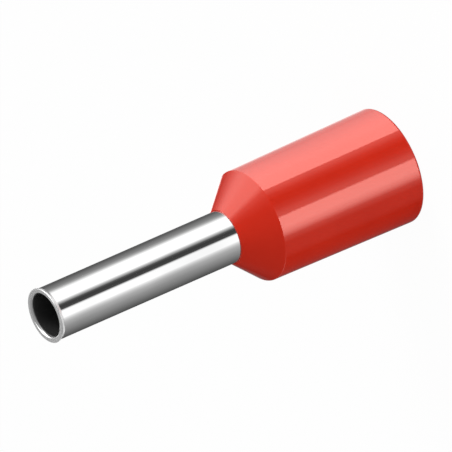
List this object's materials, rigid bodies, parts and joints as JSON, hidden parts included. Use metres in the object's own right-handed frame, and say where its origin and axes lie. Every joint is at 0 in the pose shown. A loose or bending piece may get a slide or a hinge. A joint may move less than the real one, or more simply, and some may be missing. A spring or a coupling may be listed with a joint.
{
  "type": "wire ferrule",
  "caption": "Ferrule to be crimped on a stranded wire's stripped end: a tinned copper barrel with a small lip, and a red insulating collar that widens to a mouth for the wire.",
  "frame": {"origin": "centre of the collar's mouth, on the plane of its rim, which is the part's lowest point", "axes": "+Z along the ferrule's axis, from the collar's mouth towards the barrel's tip; the part is round about Z"},
  "size_m": [0.0038, 0.0038, 0.013],
  "materials": {
    "tinned_copper": "bright tin plate on drawn copper tube",
    "red_plastic": "smooth moulded polypropylene with a soft gloss"
  },
  "bodies": {
    "root": {"barrel": "tinned_copper", "collar": "red_plastic"}
  },
  "joints": []
}
